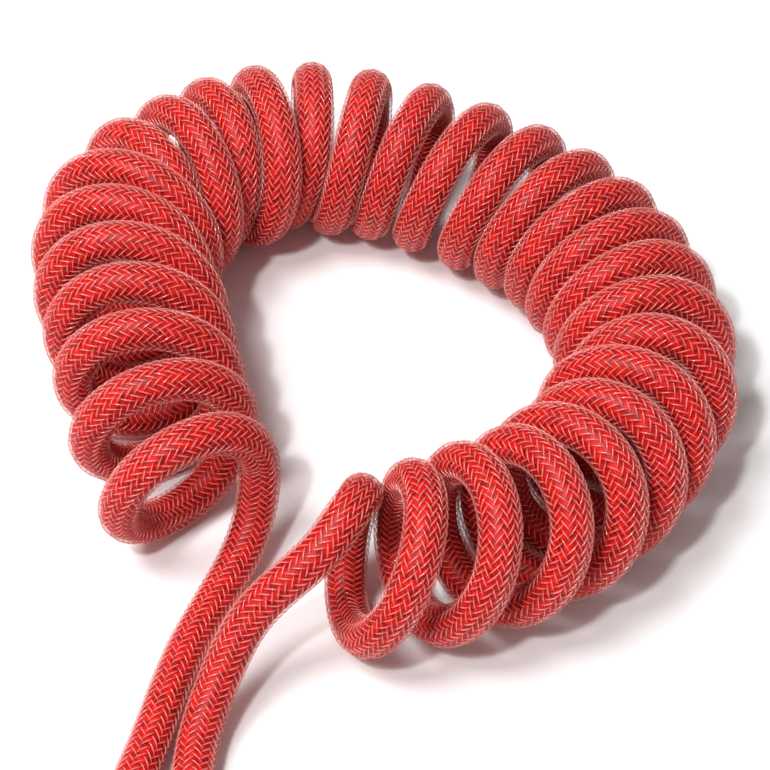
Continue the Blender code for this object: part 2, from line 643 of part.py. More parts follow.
supply_frame = add_end_frame("supply_frame", SUPPLY_PLACE, NUT_FLATS / 2 + FLOOR_GAP, SUPPLY_HEADING)
tool_frame = add_end_frame("tool_frame", TOOL_PLACE, SLEEVE_RADIUS + FLOOR_GAP, TOOL_HEADING)
add_coil()
add_tail("supply_tail", SUPPLY_ROUTE, supply_frame)
add_tail("tool_tail", TOOL_ROUTE, tool_frame)
add_hose_end("supply", supply_frame)
add_hose_end("tool", tool_frame)
add_plug(supply_frame)
add_coupler(tool_frame)
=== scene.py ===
"""Looks of the coiled air hose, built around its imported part.

The hose is a red polyurethane tube in a clear braided sleeve, wound into a coil that lies bent into an
open ring. Its supply end carries a swivelling plug and its tool end a swivelling quick coupler. Lengths are
in metres unless a name or a docstring says millimetres.
"""

import json
import logging
from dataclasses import dataclass, field
from enum import Enum
from math import cos, pi, radians, sin, tau
from typing import Iterable, Sequence

import bmesh
import bpy
import numpy as np
from mathutils import Matrix, Vector
from mathutils.bvhtree import BVHTree


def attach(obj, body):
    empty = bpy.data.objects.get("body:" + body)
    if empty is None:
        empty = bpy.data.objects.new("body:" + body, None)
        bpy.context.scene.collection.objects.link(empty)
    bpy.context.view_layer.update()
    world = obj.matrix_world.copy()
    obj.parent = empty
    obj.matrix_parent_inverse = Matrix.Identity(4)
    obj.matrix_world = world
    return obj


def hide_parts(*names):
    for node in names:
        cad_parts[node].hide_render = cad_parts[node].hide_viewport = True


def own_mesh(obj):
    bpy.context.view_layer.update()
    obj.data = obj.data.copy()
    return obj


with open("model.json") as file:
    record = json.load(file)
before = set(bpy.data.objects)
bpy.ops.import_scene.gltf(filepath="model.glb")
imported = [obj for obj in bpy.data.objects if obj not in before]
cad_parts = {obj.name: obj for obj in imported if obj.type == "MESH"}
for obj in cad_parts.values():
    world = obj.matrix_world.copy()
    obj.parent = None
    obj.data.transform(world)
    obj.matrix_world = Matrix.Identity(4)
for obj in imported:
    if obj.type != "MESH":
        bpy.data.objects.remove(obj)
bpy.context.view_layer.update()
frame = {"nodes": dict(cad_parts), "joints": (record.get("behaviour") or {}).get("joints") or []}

log = logging.getLogger("coiled_air_hose")
MM = 0.001
RING_CENTRE = Vector((0.0058, 0.0853, 0.0))
OUTSIDE = 50 * MM  # beyond the widest piece, from an end's axis
SAME = 0.01 * MM  # lengths that differ by less are taken as one


class Lean(Enum):
    """Which way a braid's strands wind round the hose."""

    RIGHT = 1
    LEFT = -1


class End(Enum):
    """The two ends of the hose, with the joint that its swivel turns on."""

    SUPPLY = "plug_swivel"
    TOOL = "coupler_swivel"

    @property
    def prefix(self) -> str:
        """The first word of this end's node names."""
        return self.name.lower()


def natural_curve(stations: Sequence[float], values: np.ndarray, wanted: Sequence[float]) -> np.ndarray:
    """Read the natural cubic curve through values at stations.

    Args:
        stations: Rising numbers, one for each row of values.
        values: One row for each station.
        wanted: The stations to read the curve at.

    Returns:
        One row for each wanted station.
    """
    t = np.asarray(stations, float)
    p = np.asarray(values, float).reshape(len(t), -1)
    step = np.diff(t)
    system = np.eye(len(t))
    change = np.zeros_like(p)
    slope = np.diff(p, axis=0) / step[:, None]
    inner = np.arange(1, len(t) - 1)
    system[inner, inner - 1] = step[:-1]
    system[inner, inner] = 2 * (step[:-1] + step[1:])
    system[inner, inner + 1] = step[1:]
    change[1:-1] = 6 * np.diff(slope, axis=0)
    bend = np.linalg.solve(system, change)
    at = np.asarray(wanted, float)
    k = np.clip(np.searchsorted(t, at) - 1, 0, len(t) - 2)
    after = ((at - t[k]) / step[k])[:, None]
    before = 1 - after
    lift = (before**3 - before) * bend[k] + (after**3 - after) * bend[k + 1]
    return before * p[k] + after * p[k + 1] + lift * (step[k] ** 2)[:, None] / 6


def travelled(points: np.ndarray) -> np.ndarray:
    """Return the distance travelled along points at each of them."""
    return np.concatenate(([0.0], np.cumsum(np.linalg.norm(np.diff(points, axis=0), axis=1))))


def spread_evenly(points: np.ndarray, spacing: float) -> np.ndarray:
    """Return points spread evenly along the smooth curve through the given ones.

    Args:
        points: Places along the curve.
        spacing: Wanted distance between neighbours, which is rounded to fit the length.

    Returns:
        The new points, the first and last unchanged.
    """
    distance = travelled(points)
    count = round(distance[-1] / spacing) + 1
    return natural_curve(distance, points, np.linspace(0, distance[-1], count))


def turns_at(before: Sequence[float], point: Sequence[float], after: Sequence[float]) -> bool:
    """Return whether an outline changes direction at a point between its neighbours."""
    run_in = (point[0] - before[0], point[1] - before[1])
    run_out = (after[0] - point[0], after[1] - point[1])
    return abs(run_in[0] * run_out[1] - run_in[1] * run_out[0]) > SAME**2


@dataclass(frozen=True)
class Span:
    """How far a node reaches along and around its end's axis."""

    bottom: float
    top: float
    inner: float
    outer: float


@dataclass(frozen=True)
class EndAxis:
    """The straight axis of one end, which points out of the hose.

    Attributes:
        end: Which end it is.
        matrix: The axis as a frame: Z out of the hose, Y up, its origin at the hose side of the spring guard.
    """

    end: End
    matrix: Matrix

    @classmethod
    def of(cls, end: End) -> "EndAxis":
        """Read an end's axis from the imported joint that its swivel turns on."""
        joint = next(j for j in frame["joints"] if j["name"] == end.value)
        out = Vector(joint["axis"]).normalized()
        side = Vector((-out.y, out.x, 0)).normalized()
        turn = Matrix((side, (0, 0, 1), out)).transposed().to_4x4()
        return cls(end, Matrix.Translation(joint["pos_m"]) @ turn)

    def at(self, height: float) -> Vector:
        """Return the point of the axis at a height along it."""
        return self.matrix @ Vector((0, 0, height))

    def vertices(self, name: str) -> np.ndarray:
        """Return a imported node's vertices in this axis' frame."""
        obj = frame["nodes"][name]
        turn = self.matrix.inverted() @ obj.matrix_world
        return np.array([turn @ v.co for v in obj.data.vertices])

    def node(self, name: str) -> Span:
        """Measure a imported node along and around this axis."""
        local = self.vertices(name)
        radius = np.hypot(local[:, 0], local[:, 1])
        return Span(local[:, 2].min(), local[:, 2].max(), radius.min(), radius.max())

    def outline(self, name: str, azimuth: float = 0.0) -> list[tuple[float, float]]:
        """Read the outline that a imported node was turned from.

        Args:
            name: The node's name.
            azimuth: Where round the axis it is read, in degrees.

        Returns:
            Radius and height of each corner: up the outer side, then down the inner one, if it has one.
        """
        local = self.vertices(name)
        mesh = frame["nodes"][name].data
        shape = BVHTree.FromPolygons([Vector(v) for v in local], [tuple(p.vertices) for p in mesh.polygons])
        towards = Vector((cos(radians(azimuth)), sin(radians(azimuth)), 0))
        heights = local[:, 2].round(6)
        levels = [float(heights[0])]
        for height in np.unique(heights):
            if abs(height - levels[-1]) > 2 * SAME:
                levels.append(float(height))
        levels = sorted(levels)
        outer, inner = [], []
        for low, high in zip(levels, levels[1:]):
            inset = min(SAME / 2, (high - low) / 4)
            for height, level in ((low + inset, low), (high - inset, high)):
                hit = shape.ray_cast(towards * OUTSIDE + Vector((0, 0, height)), -towards)[0]
                back = shape.ray_cast(Vector((0, 0, height)), towards)[0]
                if hit:
                    outer.append((hit.xy.length, level))
                if back:
                    inner.append((back.xy.length, level))
        hollow = [point for point, wall in zip(inner, outer) if point[0] < wall[0] - SAME]
        corners = []
        for point in outer + hollow[::-1]:
            last = corners[-1] if corners else (OUTSIDE, OUTSIDE)
            if max(abs(point[0] - last[0]), abs(point[1] - last[1])) > SAME:
                corners.append(point)
        loop = zip(corners[-1:] + corners[:-1], corners, corners[1:] + corners[:1])
        return [point for before, point, after in loop if turns_at(before, point, after)]


@dataclass(frozen=True)
class CoilRoute:
    """Where the turns of the coil lie, in millimetres and degrees.

    A turn number counts from the supply end. It is whole on the inner side of the ring, and a quarter more
    on top.

    Attributes:
        axis: The coil's own axis seen from above: turn number, then place from the ring's centre.
        turns: The shape of the turns: turn number, mean radius, lean towards the next turn, and swing.
        first: The turn number where the coil begins.
        last: The turn number where the tool tail leaves it.
        per_turn: Points in a turn.
    """

    axis: tuple[tuple[float, float, float], ...] = (
        (-0.5, -36.0, -59.5), (0.5, -43.5, -43.0), (1.5, -49.5, -27.5), (3.0, -54.5, -7.5),
        (5.0, -59.5, 14.5), (7.0, -58.0, 34.6), (9.0, -42.8, 49.4), (11.0, -23.2, 57.2), (13.0, 1.0, 54.3),
        (15.0, 25.6, 42.2), (17.0, 44.0, 26.4), (19.0, 54.8, 6.6), (21.0, 58.2, -16.3), (23.0, 48.0, -37.8),
        (25.0, 32.0, -53.5), (26.5, 14.5, -61.5), (27.5, 0.5, -65.0), (28.5, -14.0, -67.0),
    )
    turns: tuple[tuple[float, float, float, float], ...] = (
        (-0.5, 16.7, -3, 22), (2, 16.5, 4, 1), (6, 17.2, 21, -7), (8, 16.9, 17, -2), (10, 16.6, 13, 4),
        (12, 16.0, 11, 5), (14, 15.6, 9, 4), (16.5, 15.9, 8, 5), (19, 16.3, 2, 9), (22, 16.4, -18, 11),
        (26, 16.8, -20, 4), (28.5, 14.9, -17, -16),
    )
    first: float = 0.0
    last: float = 28.1
    per_turn: int = 36

    def points(self, floor_height: float) -> np.ndarray:
        """Wind the coil.

        Args:
            floor_height: Height of the hose's centre where it lies on the floor, in millimetres.

        Returns:
            Points along the hose's centre, in millimetres from the ring's centre.
        """
        turn = np.linspace(self.first, self.last, round((self.last - self.first) * self.per_turn) + 1)
        stations = [row[0] for row in self.axis]
        places = np.array([row[1:] for row in self.axis])
        centre = natural_curve(stations, places, turn)
        ahead = natural_curve(stations, places, turn + 0.05) - natural_curve(stations, places, turn - 0.05)
        ahead /= np.linalg.norm(ahead, axis=1)[:, None]
        inward = np.column_stack([ahead[:, 1], -ahead[:, 0]])
        shape = natural_curve([row[0] for row in self.turns], np.array([row[1:] for row in self.turns]), turn)
        radius = shape[:, :1]
        lean = np.radians(shape[:, 1:2])
        swing = np.radians(shape[:, 2:3])
        phase = tau * turn[:, None]
        across = inward * np.cos(swing) + ahead * np.sin(swing)
        flat = centre + radius * (np.cos(phase) * across + np.sin(phase) * np.sin(lean) * ahead)
        height = floor_height + radius * np.cos(lean) * (1 + np.sin(phase))
        return np.hstack([flat, height])


@dataclass
class Centreline:
    """The centre of the whole hose, from the supply end's barbs to the tool end's.

    Attributes:
        diameter: Of the hose over its sleeve.
        spacing: Distance between the points that come out.
        contact: Distance that turns are pushed to, over the diameter.
        coarse: Distance between the points that are pushed apart, over the diameter.
        rounds: How often they are pushed.
        watched: Points further apart than this, over the contact distance, never come to touch.
        sight: The direction that turns give way in most easily, towards a viewer in front.
        hold: Share of the shift across it, then along it, that each round takes back.
        coil: Where the turns lie.
        supply: The supply tail from the coil to the guard, in millimetres from the ring's centre.
        tool: The tool tail, in the same way.
    """

    diameter: float
    spacing: float
    contact: float = 1.0
    coarse: float = 0.4
    rounds: int = 400
    watched: float = 2.2
    sight: tuple[float, float, float] = (0.0, -0.643, 0.766)
    hold: tuple[float, float] = (0.02, 0.002)
    coil: CoilRoute = field(default_factory=CoilRoute)
    supply: tuple[tuple[float, float, float], ...] = (
        (-27.5, -41.7, 17.5), (-27.8, -43.1, 14.3), (-28.9, -46.8, 10.2), (-30.7, -51.8, 7.4),
        (-34.9, -61.3, 5.4), (-41.4, -75.6, 5.0), (-45.8, -89.5, 5.0), (-49.4, -102.8, 5.0),
        (-53.6, -116.0, 5.8), (-58.4, -128.5, 8.2),
    )
    tool: tuple[tuple[float, float, float], ...] = (
        (-7.3, -63.0, 34.0), (-9.6, -66.2, 32.7), (-14.5, -71.3, 29.5), (-21.0, -75.2, 25.2),
        (-27.7, -79.4, 19.5), (-32.5, -85.3, 13.5), (-36.4, -93.3, 8.3), (-38.8, -102.2, 5.8),
        (-39.4, -115.0, 6.0), (-38.4, -129.0, 9.6),
    )
    points: np.ndarray = field(init=False)
    coil_start: float = field(init=False)
    coil_end: float = field(init=False)

    def __post_init__(self) -> None:
        """Lay the hose."""
        coil = self.coil.points(self.diameter / 2 / MM)
        supply = self._straight(End.SUPPLY)[::-1] + [self._place(p) for p in self.supply[::-1]]
        tool = [self._place(p) for p in self.tool] + self._straight(End.TOOL)
        rough = np.array(supply + [self._place(p) for p in coil] + tool)
        before = travelled(rough)
        self.coil_start = before[len(supply)]
        self.coil_end = before[len(supply) + len(coil) - 1]
        even = spread_evenly(rough, self.coarse * self.diameter)
        self.points = spread_evenly(self._push_apart(even), self.spacing)

    @property
    def length(self) -> float:
        """The hose's own length."""
        return float(travelled(self.points)[-1])

    def _place(self, millimetres: Iterable[float]) -> Vector:
        """Turn a place in millimetres from the ring's centre into one in the row's frame."""
        return RING_CENTRE + Vector(millimetres) * MM

    def _straight(self, end: End) -> list[Vector]:
        """Return the points of the straight stretch inside an end's guard and on its barbs, outwards."""
        axis = EndAxis.of(end)
        stop = axis.node(f"{end.prefix}_hose_end").top
        return [axis.at(height) for height in np.linspace(0, stop, 5)]

    def _push_apart(self, start: np.ndarray) -> np.ndarray:
        """Push turns apart where they would lie in each other, and smooth what that moves.

        Args:
            start: Evenly spread points along the hose.

        Returns:
            The points where the turns lie against each other.
        """
        apart = self.contact * self.diameter
        # Neighbours within four diameters along the hose belong to one bend, so they aren't pushed apart.
        far = round(4 / self.coarse)
        one, other = np.triu_indices(len(start), far)
        near = np.linalg.norm(start[one] - start[other], axis=1) < self.watched * apart
        one, other = one[near], other[near]
        shift = np.zeros_like(start)
        for _ in range(self.rounds):
            now = start + shift
            gap = now[one] - now[other]
            distance = np.linalg.norm(gap, axis=1)
            close = distance < apart
            push = gap[close] * ((apart / distance[close] - 1) / 2)[:, None]
            move = np.zeros_like(start)
            met = np.zeros(len(start))
            for ends, way in ((one[close], 1), (other[close], -1)):
                np.add.at(move, ends, way * push)
                np.add.at(met, ends, 1)
            shift += move / np.maximum(1, met)[:, None]
            along = np.outer(shift @ self.sight, self.sight)
            shift -= (shift - along) * self.hold[0] + along * self.hold[1]
            for _ in range(2):
                shift[1:-1] = shift[1:-1] / 2 + (shift[:-2] + shift[2:]) / 4
            shift[:, 2] = np.maximum(shift[:, 2], np.minimum(0, self.diameter / 2 - start[:, 2]))
        return start + shift


class Graph:
    """A node tree that is filled by method calls."""

    def __init__(self, tree: bpy.types.NodeTree) -> None:
        """Take a tree and empty it."""
        self.tree = tree
        tree.nodes.clear()

    def add(self, kind: str, *inputs: object, **settings: object) -> bpy.types.Node:
        """Add a node.

        Args:
            kind: Blender's name for the node.
            inputs: For its inputs in order: a socket to link, a plain value, or None to leave one alone.
            settings: Its properties; one named like an input with _ for each space is that input's value.

        Returns:
            The node.
        """
        node = self.tree.nodes.new(kind)
        named = {}
        for name, value in settings.items():
            if hasattr(node, name):
                setattr(node, name, value)
            else:
                named[name.replace("_", " ")] = value
        enabled = [socket for socket in node.inputs if socket.enabled]
        for socket, value in zip(enabled, inputs):
            self.feed(socket, value)
        for name, value in named.items():
            self.feed(node.inputs[name], value)
        return node

    def feed(self, socket: bpy.types.NodeSocket, value: object) -> None:
        """Link a socket to an input, or set the input's own value."""
        if isinstance(value, bpy.types.Node):
            value = next(output for output in value.outputs if output.enabled)
        if isinstance(value, bpy.types.NodeSocket):
            self.tree.links.new(value, socket)
        elif value is not None:
            socket.default_value = value

    def math(self, operation: str, *inputs: object) -> bpy.types.NodeSocket:
        """Add a Math node and return its output."""
        kind = "ShaderNodeMath"
        return self.add(kind, *inputs, operation=operation).outputs[0]

    def vector(self, operation: str, *inputs: object) -> bpy.types.NodeSocket:
        """Add a Vector Math node and return its first output in use."""
        node = self.add("ShaderNodeVectorMath", operation=operation)
        for socket, value in zip([s for s in node.inputs if s.enabled], inputs):
            self.feed(socket, value)
        return next(output for output in node.outputs if output.enabled)

    def blend(self, share: bpy.types.NodeSocket, low: object, high: object) -> bpy.types.NodeSocket:
        """Mix two colours.

        Args:
            share: How much of the second colour there is.
            low: The first colour, as a socket or as its red, green and blue.
            high: The second colour, in the same way.

        Returns:
            The mixed colour.
        """
        mix = self.add("ShaderNodeMix", data_type="RGBA")
        self.feed(mix.inputs[0], share)
        for socket, colour in ((mix.inputs[6], low), (mix.inputs[7], high)):
            self.feed(socket, (*colour, 1) if isinstance(colour, tuple) else colour)
        return mix.outputs[2]


def new_material(name: str) -> tuple[bpy.types.Material, Graph]:
    """Start a material and return it with its empty graph."""
    material = bpy.data.materials.new(name)
    material.use_nodes = True
    return material, Graph(material.node_tree)


def add_object(name: str, data: bpy.types.ID) -> bpy.types.Object:
    """Put a new object with that data in the scene, at the origin."""
    obj = bpy.data.objects.new(name, data)
    bpy.context.scene.collection.objects.link(obj)
    return obj


def stand_for(piece: bpy.types.Object, node: str, body: str) -> bpy.types.Object:
    """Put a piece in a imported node's place.

    Args:
        piece: The finished piece.
        node: The node's name.
        body: The body that the piece rides on.

    Returns:
        The piece.
    """
    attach(piece, body)
    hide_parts(node)
    return piece


class GeometryTree(Graph):
    """A Geometry Nodes tree with named inputs, whose result is taken as a plain mesh."""

    def __init__(self, name: str, **inputs: str) -> None:
        """Start a tree.

        Args:
            name: Its name.
            inputs: For each named input, the kind of its socket.
        """
        super().__init__(bpy.data.node_groups.new(name, "GeometryNodeTree"))
        face = self.tree.interface
        face.new_socket("Geometry", in_out="INPUT", socket_type="NodeSocketGeometry")
        face.new_socket("Geometry", in_out="OUTPUT", socket_type="NodeSocketGeometry")
        self.sockets = {}
        for key, kind in inputs.items():
            socket = face.new_socket(key.replace("_", " ").capitalize(), in_out="INPUT", socket_type=kind)
            self.sockets[key] = socket.identifier
        self.start = self.tree.nodes.new("NodeGroupInput")
        self.given = {"geometry": self.start.outputs[0]}
        self.given.update({key: self.start.outputs[i + 1] for i, key in enumerate(inputs)})

    def finish(self, geometry: object, material: object) -> None:
        """End the tree in Realize Instances and Set Material."""
        real = self.add("GeometryNodeRealizeInstances", geometry)
        dressed = self.add("GeometryNodeSetMaterial", real, None, material)
        self.add("NodeGroupOutput", dressed)

    def run(self, name: str, guide: bpy.types.Object, **values: object) -> bpy.types.Object:
        """Run the tree on a guide object and keep the result as a mesh object.

        Args:
            name: The new piece's name.
            guide: The object whose geometry goes in.
            values: The named inputs' values.

        Returns:
            The new piece, a plain mesh at the origin.
        """
        modifier = guide.modifiers.new(name, "NODES")
        modifier.node_group = self.tree
        for key, value in values.items():
            modifier[self.sockets[key]] = value
        graph = bpy.context.evaluated_depsgraph_get()
        graph.update()
        mesh = bpy.data.meshes.new_from_object(guide.evaluated_get(graph), depsgraph=graph)
        guide.modifiers.remove(modifier)
        mesh.name = name
        return add_object(name, mesh)


def guide_curve(name: str, points: np.ndarray, radii: Sequence[float] | None = None) -> bpy.types.Object:
    """Make an unrendered guide along points.

    Args:
        name: The guide's name.
        points: Places in the row's frame.
        radii: A number for each point that a tree can read as its radius, or None for one throughout.

    Returns:
        The guide, a poly spline.
    """
    data = bpy.data.curves.new(name, "CURVE")
    data.dimensions = "3D"
    data.twist_mode = "MINIMUM"
    spline = data.splines.new("POLY")
    spline.points.add(len(points) - 1)
    spline.points.foreach_set("co", np.column_stack([points, np.ones(len(points))]).ravel())
    if radii is not None:
        spline.points.foreach_set("radius", np.asarray(radii, float))
    return add_object(name, data)


@dataclass(frozen=True)
class Polyurethane:
    """The glossy red tube.

    Attributes:
        colour: Where the tube is thick.
        light: Where it has less pigment.
        roughness: Of its skin.
    """

    colour: tuple[float, float, float] = (0.24, 0.0008, 0.0025)
    light: tuple[float, float, float] = (0.72, 0.009, 0.006)
    roughness: float = 0.45

    def material(self) -> bpy.types.Material:
        """Make the material."""
        material, graph = new_material("red_polyurethane")
        place = graph.add("ShaderNodeTexCoord").outputs["Object"]
        cloud = graph.add("ShaderNodeTexNoise", Scale=700.0, Detail=3.0, Roughness=0.6)
        graph.feed(cloud.inputs["Vector"], place)
        pigment = graph.add("ShaderNodeMapRange", cloud.outputs["Fac"], 0.35, 0.65, 0.0, 1.0)
        colour = graph.blend(pigment.outputs["Result"], self.colour, self.light)
        shader = graph.add("ShaderNodeBsdfPrincipled", Specular_IOR_Level=0.18)
        graph.feed(shader.inputs["Base Color"], colour)
        gloss = graph.add("ShaderNodeMapRange", cloud.outputs["Fac"], 0.3, 0.7)
        graph.feed(gloss.inputs["To Min"], self.roughness - 0.08)
        graph.feed(gloss.inputs["To Max"], self.roughness + 0.1)
        graph.feed(shader.inputs["Roughness"], gloss.outputs["Result"])
        graph.add("ShaderNodeOutputMaterial", shader)
        return material


@dataclass(frozen=True)
class ClearStrand:
    """The clear monofilament of the sleeve, with painted shade where it lies under other strands and a
    painted glint where it lies over them.

    Attributes:
        under: Its colour where it lies under others, darker and redder as painted shade.
        over: Its colour where it lies over them, paler as a painted glint.
        alpha: Its opacity under others, kept low as painted shade, and over them, raised as a painted glint.
        roughness: Of its skin.
    """

    under: tuple[float, float, float] = (0.75, 0.05, 0.045)
    over: tuple[float, float, float] = (1.0, 0.34, 0.30)
    alpha: tuple[float, float] = (0.12, 0.38)
    roughness: float = 0.12

    def material(self) -> bpy.types.Material:
        """Make the material."""
        material, graph = new_material("clear_monofilament")
        over = graph.add("ShaderNodeAttribute", attribute_name="over").outputs["Fac"]
        # Painted light: where the over mark is set, the strand is paler and more opaque as a painted glint;
        # where it lies under others, it is darker, redder and fainter as painted shade.
        colour = graph.blend(over, self.under, self.over)
        opacity = graph.add("ShaderNodeMapRange", over, 0.0, 1.0, *self.alpha)
        shader = graph.add("ShaderNodeBsdfPrincipled", Roughness=self.roughness, IOR=1.5)
        graph.feed(shader.inputs["Base Color"], colour)
        graph.feed(shader.inputs["Alpha"], opacity.outputs["Result"])
        graph.feed(shader.inputs["Specular IOR Level"], 1.0)
        graph.add("ShaderNodeOutputMaterial", shader)
        return material


@dataclass
class SleevedHose:
    """The tube and the braided sleeve over it, from one end's barbs to the other's.

    Attributes:
        diameter: Over the sleeve.
        tube: Outer diameter of the tube.
        strand: Diameter of a strand.
        strands: Strands that wind one way; as many wind the other way.
        lead: Length of hose in which a strand goes once round.
        stretches: How many pieces the sleeve is made in.
        tight: The sleeve's size on the tails, over its size on the coil.
        easing: Length of tail over which the sleeve tightens.
        reach: Places to each side that the bend of the hose is read from.
        sides: Sides of the tube.
        tube_step: Distance between the tube's rings.
    """

    diameter: float = 9.6 * MM
    tube: float = 8.0 * MM
    strand: float = 0.35 * MM
    strands: int = 16
    lead: float = 27.8 * MM
    stretches: int = 6
    tight: float = 0.95
    easing: float = 60 * MM
    reach: int = 6
    sides: int = 28
    tube_step: float = 1.8 * MM
    line: Centreline = field(init=False)

    def __post_init__(self) -> None:
        """Lay the centreline, with a point wherever strands cross."""
        self.line = Centreline(self.diameter, self.lead / (2 * self.strands))

    def build(self, fittings: Sequence[bpy.types.Object]) -> bpy.types.Object:
        """Args:
            fittings: The pieces at its far end. Not used.

        Returns:
            The tube.
        """
        at = travelled(self.line.points)
        on_supply_tail = np.clip((self.line.coil_start - at) / self.easing, 0, 1)
        on_tool_tail = np.clip((at - self.line.coil_end) / self.easing, 0, 1)
        sizes = 1 - (1 - self.tight) * (on_supply_tail + on_tool_tail)
        guide = guide_curve("hose_guide", self.line.points, sizes)
        tube = self._tube(guide)
        sleeve = self._sleeve(guide)
        bpy.data.objects.remove(guide)
        for piece in (tube, *sleeve):
            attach(piece, "hose")
        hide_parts("hose_coil", "supply_tail", "tool_tail", "supply_hose_end", "tool_hose_end")
        EndAxis.of(End.SUPPLY).at(EndAxis.of(End.SUPPLY).node("supply_hose_end").top)
        round(self.line.length, 2)
        log.info("hose: %.3f m long, %d pieces of sleeve", self.line.length, len(sleeve))
        return tube

    def _tube(self, guide: bpy.types.Object) -> bpy.types.Object:
        """Sweep the tube along the guide."""
        tree = GeometryTree(
            "tube_along_hose",
            step="NodeSocketFloat",
            radius="NodeSocketFloat",
            sides="NodeSocketInt",
            material="NodeSocketMaterial",
        )
        even = tree.add("GeometryNodeResampleCurve", tree.given["geometry"])
        even.mode = "LENGTH"
        tree.feed(even.inputs["Length"], tree.given["step"])
        plain = tree.add("GeometryNodeSetCurveRadius", even, None, 1.0)
        ring = tree.add("GeometryNodeCurvePrimitiveCircle", tree.given["sides"])
        tree.feed(ring.inputs["Radius"], tree.given["radius"])
        swept = tree.add("GeometryNodeCurveToMesh", plain, ring)
        swept.inputs["Fill Caps"].default_value = True
        tree.finish(tree.add("GeometryNodeSetShadeSmooth", swept), tree.given["material"])
        material = Polyurethane().material()
        return tree.run(
            "hose_tube", guide, step=self.tube_step, radius=self.tube / 2, sides=self.sides, material=material
        )

    def _sleeve(self, guide: bpy.types.Object) -> list[bpy.types.Object]:
        """Braid the sleeve along the guide, in stretches."""
        tree = GeometryTree(
            "braid_along_hose",
            first="NodeSocketInt",
            last="NodeSocketInt",
            strands="NodeSocketInt",
            low="NodeSocketFloat",
            high="NodeSocketFloat",
            strand="NodeSocketFloat",
            reach="NodeSocketInt",
            slide="NodeSocketFloat",
            material="NodeSocketMaterial",
        )
        given = tree.given
        held = tree.add("GeometryNodeCaptureAttribute", given["geometry"], domain="POINT")
        kinds = {"Side": "VECTOR", "Along": "VECTOR", "Bend": "VECTOR", "Place": "INT", "Size": "FLOAT"}
        for key, kind in kinds.items():
            held.capture_items.new(kind, key)
        behind, ahead = (
            tree.add(
                "GeometryNodeFieldAtIndex",
                tree.add("GeometryNodeInputTangent"),
                tree.math(way, tree.add("GeometryNodeInputIndex"), given["reach"]),
                data_type="FLOAT_VECTOR",
                domain="POINT",
            )
            for way in ("SUBTRACT", "ADD")
        )
        outward = tree.vector("SUBTRACT", behind, ahead)
        tree.feed(held.inputs["Bend"], tree.vector("SCALE", outward, given["slide"]))
        tree.feed(held.inputs["Side"], tree.add("GeometryNodeInputNormal"))
        tree.feed(held.inputs["Along"], tree.add("GeometryNodeInputTangent"))
        tree.feed(held.inputs["Place"], tree.add("GeometryNodeInputIndex"))
        tree.feed(held.inputs["Size"], tree.add("GeometryNodeInputRadius"))
        before = tree.math("LESS_THAN", held.outputs["Place"], given["first"])
        beyond = tree.math("GREATER_THAN", held.outputs["Place"], given["last"])
        outside = tree.math("MAXIMUM", before, beyond)
        kept = tree.add("GeometryNodeDeleteGeometry", held.outputs["Geometry"], outside, domain="POINT")
        both = tree.add("GeometryNodeJoinGeometry")
        for lean in Lean:
            tree.feed(both.inputs[0], self._strands(tree, kept, held, lean))
        tree.finish(tree.add("GeometryNodeSetShadeSmooth", both), given["material"])

        material = ClearStrand().material()
        joints = np.linspace(0, len(self.line.points) - 1, self.stretches + 1).round().astype(int)
        high = (self.diameter - self.strand) / 2
        return [
            tree.run(
                f"braided_sleeve_{i + 1}",
                guide,
                first=int(joints[i]),
                last=int(joints[i + 1]),
                strands=self.strands,
                low=high - self.strand,
                high=high,
                strand=self.strand / 2,
                reach=self.reach,
                slide=high / (2 * self.reach * self.line.spacing),
                material=material,
            )
            for i in range(self.stretches)
        ]

    def _strands(
        self, tree: GeometryTree, line: bpy.types.Node, held: bpy.types.Node, lean: Lean
    ) -> bpy.types.NodeSocket:
        """Wind the strands of one lean: over two of the other lean, then under two.

        Args:
            tree: The tree that they are made in.
            line: The stretch of centreline that they go round.
            held: The centreline's directions, places and sizes, at its points.
            lean: Which way they wind.

        Returns:
            The strands, as a mesh.
        """
        given = tree.given
        copies = tree.add("GeometryNodeDuplicateElements", line, None, given["strands"], domain="SPLINE")
        number = copies.outputs["Duplicate Index"]
        place = tree.math("MULTIPLY", held.outputs["Place"], lean.value)
        doubled = tree.math("MULTIPLY", number, 2.0)
        step = tree.math("ADD", doubled, place)
        even = tree.math("DIVIDE", tree.math("MULTIPLY", step, pi), given["strands"])
        phase = tree.math("FLOORED_MODULO", step, 4.0)
        over = tree.math("LESS_THAN", phase, 1.5)
        if lean is Lean.LEFT:
            over = tree.math("SUBTRACT", 1.0, over)
        rise = tree.math("MULTIPLY", over, tree.math("SUBTRACT", given["high"], given["low"]))
        sized = tree.math("MULTIPLY", tree.math("ADD", given["low"], rise), held.outputs["Size"])
        side, along = held.outputs["Side"], held.outputs["Along"]
        up = tree.vector("CROSS_PRODUCT", along, side)

        def towards(angle: bpy.types.NodeSocket) -> bpy.types.NodeSocket:
            """Turn an angle round the hose into a direction."""
            across = tree.vector("SCALE", side, tree.math("COSINE", angle))
            return tree.vector("ADD", across, tree.vector("SCALE", up, tree.math("SINE", angle)))

        crowding = tree.vector("CROSS_PRODUCT", held.outputs["Bend"], towards(even))
        turned = towards(tree.math("SUBTRACT", even, tree.vector("DOT_PRODUCT", crowding, along)))
        moved = tree.add("GeometryNodeSetPosition", copies.outputs["Geometry"])
        tree.feed(moved.inputs["Offset"], tree.vector("SCALE", turned, sized))
